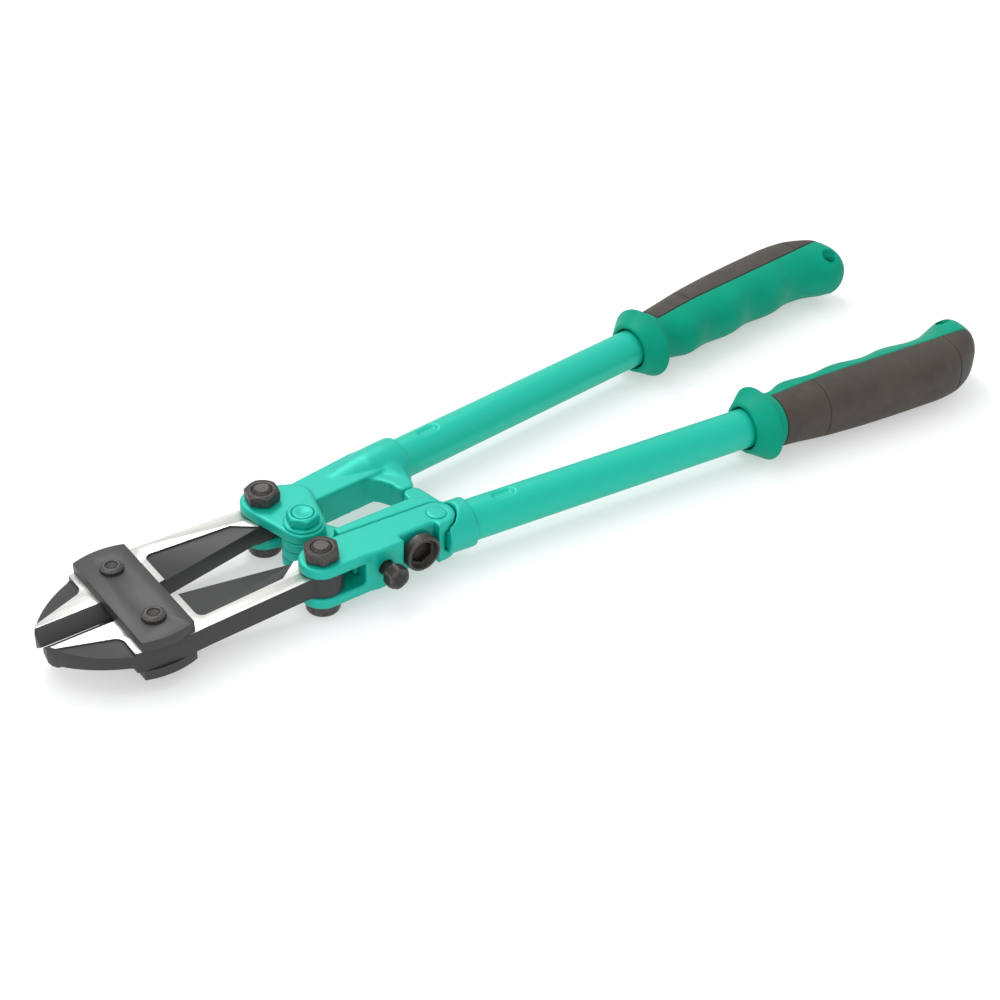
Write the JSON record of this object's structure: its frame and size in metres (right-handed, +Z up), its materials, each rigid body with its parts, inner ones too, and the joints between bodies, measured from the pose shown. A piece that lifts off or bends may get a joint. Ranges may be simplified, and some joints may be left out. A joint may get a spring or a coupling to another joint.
{
  "type": "bolt cutters",
  "caption": "Hand bolt cutters with centre-cut forged jaws in a strap pair, compound cast linkage with adjuster, tubular handles and two-tone guarded grips.",
  "frame": {"origin": "middle of the bounding box at its underside, which is the surface the tool lies on", "axes": "+X from the blade tips to the grips, +Y from the right handle, which carries the adjuster, to the left handle, +Z up, along the pivot bolts, with the nuts on top"},
  "size_m": [0.4516, 0.1308, 0.032],
  "materials": {
    "cast_paint": "gloss paint over cast iron, softened edges",
    "tube_paint": "smooth gloss paint over steel tube",
    "grip_core": "satin moulded plastic",
    "grip_cover": "matte soft cover",
    "forged_steel": "black forged steel with ground bright lands",
    "strap_steel": "black oxide, satin",
    "dark_fastener": "dark phosphate with brighter edges"
  },
  "bodies": {
    "left_handle": {"casting_left": "cast_paint", "tube_left": "tube_paint", "grip_core_left": "grip_core", "grip_cover_left": "grip_cover", "jaw_bolt_left": "dark_fastener", "jaw_nut_left": "dark_fastener", "pivot_bolt": "cast_paint", "pivot_washer": "cast_paint", "pivot_nut": "cast_paint"},
    "right_handle": {"casting_right": "cast_paint", "tube_right": "tube_paint", "grip_core_right": "grip_core", "grip_cover_right": "grip_cover", "link_rivet": "cast_paint"},
    "adjuster": {"adjuster_link": "cast_paint", "jaw_bolt_right": "dark_fastener", "jaw_nut_right": "dark_fastener"},
    "clamp_screw": {"clamp_screw": "dark_fastener"},
    "adjusting_screw": {"adjusting_screw": "dark_fastener"},
    "left_jaw": {"jaw_left": "forged_steel"},
    "right_jaw": {"jaw_right": "forged_steel"},
    "straps": {"strap_top": "strap_steel", "strap_bottom": "strap_steel", "strap_bolt_left": "strap_steel", "strap_bolt_right": "strap_steel", "strap_nut_left": "strap_steel", "strap_nut_right": "strap_steel"}
  },
  "joints": [
    {"name": "handle_swing", "type": "hinge", "parent": "left_handle", "child": "right_handle", "pos_m": [-0.11185, 0, 0.016], "axis": [0, 0, -1], "range_deg": [0, 90]},
    {"name": "left_jaw_pivot", "type": "hinge", "parent": "left_handle", "child": "left_jaw", "pos_m": [-0.11735, 0.0225, 0.016], "axis": [0, 0, -1], "range_deg": [0, 53.61]},
    {"name": "strap_pivot", "type": "hinge", "parent": "left_jaw", "child": "straps", "pos_m": [-0.18735, 0.017, 0.016], "axis": [0, 0, 1], "range_deg": [0, 8.61]},
    {"name": "adjuster_set", "type": "hinge", "parent": "right_handle", "child": "adjuster", "pos_m": [-0.06407, -0.02428, 0.016], "axis": [0, 0, 1], "range_deg": [0, 0.6]},
    {"name": "right_jaw_pivot", "type": "hinge", "parent": "adjuster", "child": "right_jaw", "pos_m": [-0.11735, -0.0225, 0.016], "axis": [0, 0, 1], "range_deg": [0, 53.61]},
    {"name": "clamp_screw_turn", "type": "hinge", "parent": "right_handle", "child": "clamp_screw", "pos_m": [-0.07665, -0.0284, 0.016], "axis": [0, -1, 0], "continuous": true},
    {"name": "adjusting_screw_turn", "type": "hinge", "parent": "adjuster", "child": "adjusting_screw", "pos_m": [-0.09355, -0.0323, 0.016], "axis": [0, -1, 0], "continuous": true}
  ],
  "couplings": [
    {"joint": "left_jaw_pivot", "follows": "handle_swing", "ratio": 0.5951},
    {"joint": "right_jaw_pivot", "follows": "handle_swing", "ratio": 0.5951},
    {"joint": "strap_pivot", "follows": "handle_swing", "ratio": 0.0951}
  ]
}
